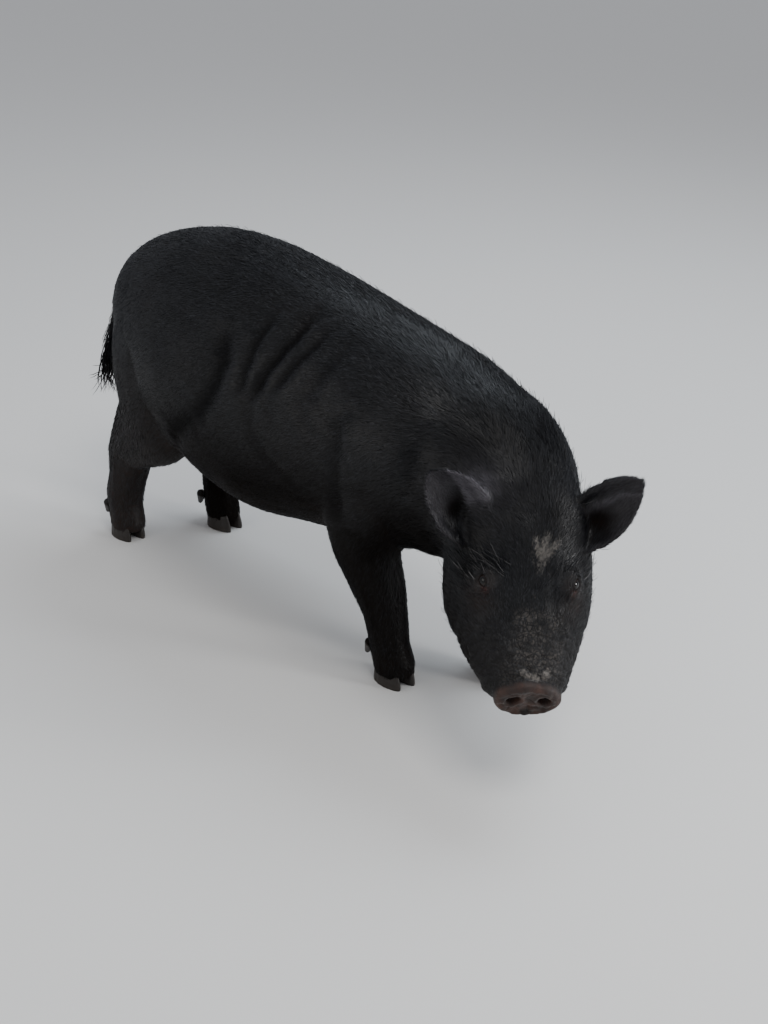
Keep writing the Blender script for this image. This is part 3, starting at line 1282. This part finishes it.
def coatTree():
    # Scatters strands over one patch of the skin, combed along the lie. Gives the tree and its inputs.
    tree, start, end = groupOf(
        "coatOfHair",
        (("Geometry", "NodeSocketGeometry", None), ("Patch", "NodeSocketInt", 0),
         ("Density", "NodeSocketFloat", 1.0), ("Field", "NodeSocketString", "furDensity"),
         ("Way", "NodeSocketString", "lie"), ("Width", "NodeSocketFloat", 0.001),
         ("Longer", "NodeSocketFloat", 1.0), ("Lift", "NodeSocketFloat", 1.0),
         ("Spread", "NodeSocketFloat", 0.3), ("Seed", "NodeSocketInt", 1),
         ("Strand", "NodeSocketObject", None), ("Material", "NodeSocketMaterial", None)),
        (("Geometry", "NodeSocketGeometry"),),
        "GeometryNodeTree",
    )
    sockets = {s.name: s.identifier for s in tree.interface.items_tree if s.in_out == "INPUT"}

    def enabled(sockets, name):
        return [s for s in sockets if s.enabled and s.name == name][0]

    def named(name, kind):
        made = nodeIn(tree, "GeometryNodeInputNamedAttribute", data_type=kind)
        made.inputs["Name"].default_value = name
        return enabled(made.outputs, "Attribute")

    def chance(low, high, offset):
        made = nodeIn(tree, "FunctionNodeRandomValue", data_type="FLOAT")
        ins = {s.name: s for s in made.inputs if s.enabled}
        ins["Min"].default_value, ins["Max"].default_value = low, high
        join(tree, plus(tree, start.outputs["Seed"], offset), ins["Seed"])
        return [s for s in made.outputs if s.enabled][0]

    same = nodeIn(tree, "FunctionNodeCompare", data_type="INT", operation="EQUAL")
    pair = [s for s in same.inputs if s.enabled]
    join(tree, named("patch", "INT"), pair[0])
    join(tree, start.outputs["Patch"], pair[1])
    scatter = nodeIn(tree, "GeometryNodeDistributePointsOnFaces", distribute_method="RANDOM")
    join(tree, start.outputs["Geometry"], scatter.inputs["Mesh"])
    join(tree, same.outputs["Result"], scatter.inputs["Selection"])
    growth = named("", "FLOAT")
    join(tree, start.outputs["Field"], growth.node.inputs["Name"])
    join(tree, times(tree, growth, start.outputs["Density"]), enabled(scatter.inputs, "Density"))
    join(tree, start.outputs["Seed"], scatter.inputs["Seed"])

    upright = nodeIn(tree, "FunctionNodeAlignRotationToVector", axis="Z")
    join(tree, scatter.outputs["Normal"], upright.inputs["Vector"])
    turned = nodeIn(tree, "FunctionNodeAlignRotationToVector", axis="X", pivot_axis="Z")
    join(tree, upright.outputs["Rotation"], turned.inputs["Rotation"])
    combed = named("", "FLOAT_VECTOR")
    join(tree, start.outputs["Way"], combed.node.inputs["Name"])
    join(tree, combed, turned.inputs["Vector"])
    lean = nodeIn(tree, "ShaderNodeCombineXYZ")
    raised = times(tree, named("furLift", "FLOAT"), start.outputs["Lift"])
    join(tree, times(tree, raised, chance(-2.2, -0.2, 11)), lean.inputs["Y"])
    join(tree, times(tree, chance(-1.0, 1.0, 12), start.outputs["Spread"]), lean.inputs["Z"])
    bent = nodeIn(tree, "FunctionNodeEulerToRotation")
    join(tree, lean.outputs["Vector"], bent.inputs["Euler"])
    final = nodeIn(tree, "FunctionNodeRotateRotation", rotation_space="LOCAL")
    join(tree, turned.outputs["Rotation"], final.inputs["Rotation"])
    join(tree, bent.outputs["Rotation"], final.inputs["Rotate By"])

    size = nodeIn(tree, "ShaderNodeCombineXYZ")
    long = times(tree, named("furLength", "FLOAT"), start.outputs["Longer"])
    long = times(tree, long, chance(0.62, 1.25, 13))
    join(tree, long, size.inputs["X"])
    join(tree, times(tree, start.outputs["Width"], chance(0.7, 1.3, 14)), size.inputs["Y"])
    join(tree, long, size.inputs["Z"])
    source = nodeIn(tree, "GeometryNodeObjectInfo")
    join(tree, start.outputs["Strand"], source.inputs["Object"])
    place = nodeIn(tree, "GeometryNodeInstanceOnPoints")
    join(tree, scatter.outputs["Points"], place.inputs["Points"])
    join(tree, source.outputs["Geometry"], place.inputs["Instance"])
    join(tree, final.outputs["Rotation"], place.inputs["Rotation"])
    join(tree, size.outputs["Vector"], place.inputs["Scale"])
    shade = nodeIn(tree, "GeometryNodeStoreNamedAttribute", data_type="FLOAT", domain="INSTANCE")
    shade.inputs["Name"].default_value = "tone"
    join(tree, place.outputs["Instances"], shade.inputs["Geometry"])
    join(tree, chance(0.0, 1.0, 15), enabled(shade.inputs, "Value"))
    real = nodeIn(tree, "GeometryNodeRealizeInstances")
    join(tree, shade.outputs["Geometry"], real.inputs["Geometry"])
    small = nodeIn(tree, "ShaderNodeVectorMath", operation="SCALE")
    small.inputs["Scale"].default_value = strandSpot
    join(tree, named("strandPlace", "FLOAT_VECTOR"), small.inputs[0])
    spot = nodeIn(tree, "ShaderNodeVectorMath", operation="ADD")
    join(tree, named("skinPlace", "FLOAT_VECTOR"), spot.inputs[0])
    join(tree, small.outputs["Vector"], spot.inputs[1])
    uv = nodeIn(tree, "GeometryNodeStoreNamedAttribute", data_type="FLOAT2", domain="CORNER")
    uv.inputs["Name"].default_value = "OFBake"
    join(tree, real.outputs["Geometry"], uv.inputs["Geometry"])
    join(tree, spot.outputs["Vector"], enabled(uv.inputs, "Value"))
    paint = nodeIn(tree, "GeometryNodeSetMaterial")
    join(tree, uv.outputs["Geometry"], paint.inputs["Geometry"])
    join(tree, start.outputs["Material"], paint.inputs["Material"])
    join(tree, paint.outputs["Geometry"], end.inputs["Geometry"])
    return tree, sockets


coatGrower, coatSockets = coatTree()
strandObjects = {word: strand("strand_" + word, rows) for word, rows in strands.items()}

coats = {  # patch, strands per square metre, width, longer, lift, spread, strand
    "coatBack": ("back", 455000, 0.00050, 1.0, 1.0, 0.36, "short"),
    "coatRightFore": ("flankRightFore", 700000, 0.00046, 1.0, 1.0, 0.32, "short"),
    "coatRightHind": ("flankRightHind", 700000, 0.00046, 1.0, 1.0, 0.32, "short"),
    "coatLeftFore": ("flankLeftFore", 600000, 0.00050, 1.0, 1.0, 0.32, "short"),
    "coatLeftHind": ("flankLeftHind", 600000, 0.00050, 1.0, 1.0, 0.32, "short"),
    "coatBelly": ("belly", 240000, 0.00060, 1.0, 1.0, 0.35, "short"),
    "coatNeck": ("neck", 700000, 0.00046, 1.0, 1.1, 0.38, "short"),
    "coatFace": ("face", 520000, 0.00036, 1.0, 1.0, 0.38, "short"),
    "coatEars": ("ears", 1100000, 0.00032, 1.0, 1.0, 0.34, "short"),
    "coatLegsFront": ("legsFront", 420000, 0.00046, 1.0, 1.0, 0.28, "short"),
    "coatLegsHind": ("legsHind", 400000, 0.00046, 1.0, 1.0, 0.28, "short"),
    "bristlesBack": ("back", 9000, 0.00042, 1.35, 1.6, 0.40, "long"),
    "bristlesNeck": ("neck", 14000, 0.00040, 1.25, 1.6, 0.40, "long"),
    "bristlesFace": ("face", 9000, 0.00026, 1.8, 2.4, 0.50, "long"),
    "browHairs": ("face", 300000, 0.00028, 3.1, 1.9, 0.40, "long"),
    "tailSwitch": ("tail", 130000, 0.00046, 1.0, 0.9, 0.22, "switch"),
}
coatMost = 199000
firstSeed = 20
workFields = (
    "lie", "browLie", "furLength", "furDensity", "furLift", "browDensity", "skinPlace", "strandPlace",
    "patch", "limb", "wet",
)
coatPieces = []
total = 0
for number, (name, (patch, many, width, longer, lifted, spread, kind)) in enumerate(coats.items()):
    carrier = skin.copy()
    scene.collection.objects.link(carrier)
    grow = carrier.modifiers.new("Coat", "NODES")
    grow.node_group = coatGrower
    brows = name == "browHairs"
    field, way, look = ("browDensity", "browLie", lash) if brows else ("furDensity", "lie", bristle)
    for word, value in (
        ("Patch", patches[patch]), ("Density", float(many)), ("Field", field), ("Way", way), ("Width", width),
        ("Longer", longer), ("Lift", lifted), ("Spread", spread), ("Seed", firstSeed + number),
        ("Strand", strandObjects[kind]), ("Material", look),
    ):
        grow[coatSockets[word]] = value
    grown = bpy.data.meshes.new_from_object(carrier.evaluated_get(bpy.context.evaluated_depsgraph_get()))
    carrier.modifiers.clear()
    bpy.data.objects.remove(carrier, do_unlink=True)
    grown.name = name
    for extra in workFields:
        if extra in grown.attributes:
            grown.attributes.remove(grown.attributes[extra])
    piece = bpy.data.objects.new(name, grown)
    scene.collection.objects.link(piece)
    triangles = sum(len(p.vertices) - 2 for p in grown.polygons)
    total += triangles
    print("coat", name, triangles, "OVER" if triangles > coatMost else "")
    coatPieces.append(piece)
print("coat in all", total)
for obj in strandObjects.values():
    bpy.data.objects.remove(obj, do_unlink=True)


ball = {
    "turns": 64, "rows": 48, "cornea": 0.0004, "corneaReach": 0.62,
    "pupil": (0.30, 0.36), "iris": (0.60, 0.70),  # where each fades out, as a turn from the middle
    "pupilColour": (0.0006, 0.0006, 0.0007, 1), "irisColour": (0.0085, 0.0036, 0.0018, 1),
    "whiteColour": (0.020, 0.0085, 0.0060, 1), "rough": 0.05, "shine": 0.32,
}


def eyeMaterial():
    made, tree, shader = material("eyeball")
    turn = attributeOf(tree, "fromMiddle")
    iris = mixOf(tree, rampOf(tree, turn, *ball["pupil"]), ball["pupilColour"], ball["irisColour"])
    whole = mixOf(tree, rampOf(tree, turn, *ball["iris"]), iris, ball["whiteColour"])
    join(tree, whole, shader.inputs["Base Color"])
    shader.inputs["Roughness"].default_value = ball["rough"]
    shader.inputs["Specular IOR Level"].default_value = ball["shine"]
    return made


def eyeball(name, centre, axes):
    bm = bmesh.new()
    bmesh.ops.create_uvsphere(bm, u_segments=ball["turns"], v_segments=ball["rows"], radius=1.0)
    turns = []
    for vert in bm.verts:
        turn = math.acos(max(-1.0, min(1.0, vert.co.z)))
        turns.append(turn)
        share = turn / ball["corneaReach"]
        bulge = ball["cornea"] * math.cos(share * math.pi / 2) if share < 1 else 0.0
        vert.co = Vector(centre + np.array(vert.co) @ axes * (eye["radius"] + bulge))
    obj = objectFrom(bm, name)
    obj.data.attributes.new("fromMiddle", "FLOAT", "POINT").data.foreach_set("value", turns)
    obj.data.shade_smooth()
    return obj


print("eyes")
eyeLook = eyeMaterial()
eyes = {}
for word, centre, side in zip(("left", "right"), eyeCentres(), (1, -1)):
    eyes[word] = eyeball(word + "Eye", centre, np.array(eyeAxes(side)))
    eyes[word].data.materials.append(eyeLook)


horn = {
    "voxel": 0.0008, "rounds": 5,
    "colour": (0.016, 0.0125, 0.0105, 1), "worn": (0.036, 0.029, 0.024, 1), "wornHeight": 0.012,
}


def hornMaterial():
    # Dark horn with fine ridges round each claw, worn paler and dusty towards the ground.
    made, tree, shader = material("horn")
    height = nodeIn(tree, "ShaderNodeSeparateXYZ")
    join(tree, nodeIn(tree, "ShaderNodeTexCoord").outputs["Object"], height.inputs["Vector"])
    low = rampOf(tree, height.outputs["Z"], horn["wornHeight"], 0.0)
    worn = times(tree, low, rampOf(tree, noiseOf(tree, 260.0, 5.0, 0.7), 0.40, 0.62))
    join(tree, mixOf(tree, worn, horn["colour"], horn["worn"]), shader.inputs["Base Color"])
    ridges = noiseOf(tree, 1.0, 3.0, 0.5, stretch=(90, 90, 900))
    join(tree, bumpOf(tree, ridges, 0.35, 0.0006), shader.inputs["Normal"])
    join(tree, plus(tree, 0.42, times(tree, worn, 0.35)), shader.inputs["Roughness"])
    shader.inputs["Specular IOR Level"].default_value = 0.35
    return made


print("claws")
hornLook = hornMaterial()
claws = {}
for node in [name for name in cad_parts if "claw" in name]:
    words = node.split("_")
    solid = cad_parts[node]
    claw = bpy.data.objects.new(words[0] + "".join(w.capitalize() for w in words[1:]), solid.data.copy())
    claw.data.transform(solid.matrix_world)
    scene.collection.objects.link(claw)
    remesh(claw, horn["voxel"], horn["rounds"])
    claw.data.materials.clear()
    claw.data.materials.append(hornLook)
    claw.data.shade_smooth()
    claws[node] = claw


for obj in [skin, *coatPieces, *eyes.values()]:
    obj.data.transform(Matrix.Translation(shift))
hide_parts("torso", "neck", "head", "ear_left", "ear_right", "snout", "tail",
            "leg_front_left", "leg_front_right", "leg_hind_left", "leg_hind_right")
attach(skin, "root")
for obj in coatPieces:
    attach(obj, "root")
for word, obj in eyes.items():
    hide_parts("eye_" + word)
    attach(obj, "root")
for node, obj in claws.items():
    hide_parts(node)
    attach(obj, "root")


print("camera and lights")
view = {
    "spot": (1.08, -0.893, 0.76), "azimuth": 46.0, "down": 25.38, "roll": -2.60, "lens": 50.0,
    "sensor": 36, "clip": (0.05, 50),
}
azimuth, down, roll = (math.radians(view[k]) for k in ("azimuth", "down", "roll"))
flatWay = Vector((-math.sin(azimuth), math.cos(azimuth), 0))
rightWay = Vector((math.cos(azimuth), math.sin(azimuth), 0))
forward = flatWay * math.cos(down) - Vector((0, 0, 1)) * math.sin(down)
upWay = flatWay * math.sin(down) + Vector((0, 0, 1)) * math.cos(down)
right = math.cos(roll) * rightWay - math.sin(roll) * upWay
lower = -math.sin(roll) * rightWay - math.cos(roll) * upWay
camera = bpy.data.objects.new("camera", bpy.data.cameras.new("camera"))
scene.collection.objects.link(camera)
camera.data.sensor_fit = "VERTICAL"
camera.data.sensor_height = view["sensor"]
camera.data.sensor_width = view["sensor"]
camera.data.lens = view["lens"]
axes = Matrix((right, -lower, -forward)).transposed()
camera.matrix_world = Matrix.LocRotScale(Vector(view["spot"]) + shift, axes.to_quaternion(), None)
camera.data.clip_start, camera.data.clip_end = view["clip"]
scene.camera = camera

studio = {
    "floorSize": 30.0, "floorColour": (0.76, 0.75, 0.73, 1), "floorRough": 0.85,
    "skyColour": (0.90, 0.93, 1.0, 1), "skyStrength": 0.55,
    "lights": {  # spot, aim, size, power, colour
        "key": ((1.2, -0.5, 2.2), (0.0, 0, 0.2), (0.9, 0.9), 22, (1.0, 0.99, 0.97)),
        "rim": ((0.0, 1.2, 2.0), (0.0, 0, 0.25), (1.6, 1.2), 24, (0.84, 0.92, 1.0)),
        "fill": ((-0.3, -2.5, 1.0), (0.0, 0, 0.2), (1.6, 1.2), 10, (1.0, 0.95, 0.88)),
        "catch": ((1.55, 0.75, 0.50), (0.33, -0.05, 0.2), (0.34, 0.34), 11, (1, 1, 1)),
    },
}
bm = bmesh.new()
bmesh.ops.create_grid(bm, x_segments=1, y_segments=1, size=studio["floorSize"])
floor = objectFrom(bm, "floor")
paleFloor, tree, shader = material("paleFloor")
shader.inputs["Base Color"].default_value = studio["floorColour"]
shader.inputs["Roughness"].default_value = studio["floorRough"]
floor.data.materials.append(paleFloor)


def areaLight(name, spot, aim, size, power, colour):
    lamp = bpy.data.lights.new(name, "AREA")
    lamp.shape = "RECTANGLE"
    lamp.size, lamp.size_y = size
    lamp.energy = power
    lamp.color = colour
    obj = bpy.data.objects.new(name, lamp)
    scene.collection.objects.link(obj)
    obj.location = spot
    obj.rotation_mode = "QUATERNION"
    obj.rotation_quaternion = (Vector(aim) - Vector(spot)).to_track_quat("-Z", "Y")


for name, row in studio["lights"].items():
    areaLight(name, *row)
world = bpy.data.worlds.new("studio")
scene.world = world
world.use_nodes = True
sky = world.node_tree.nodes["Background"]
sky.inputs["Color"].default_value = studio["skyColour"]
sky.inputs["Strength"].default_value = studio["skyStrength"]
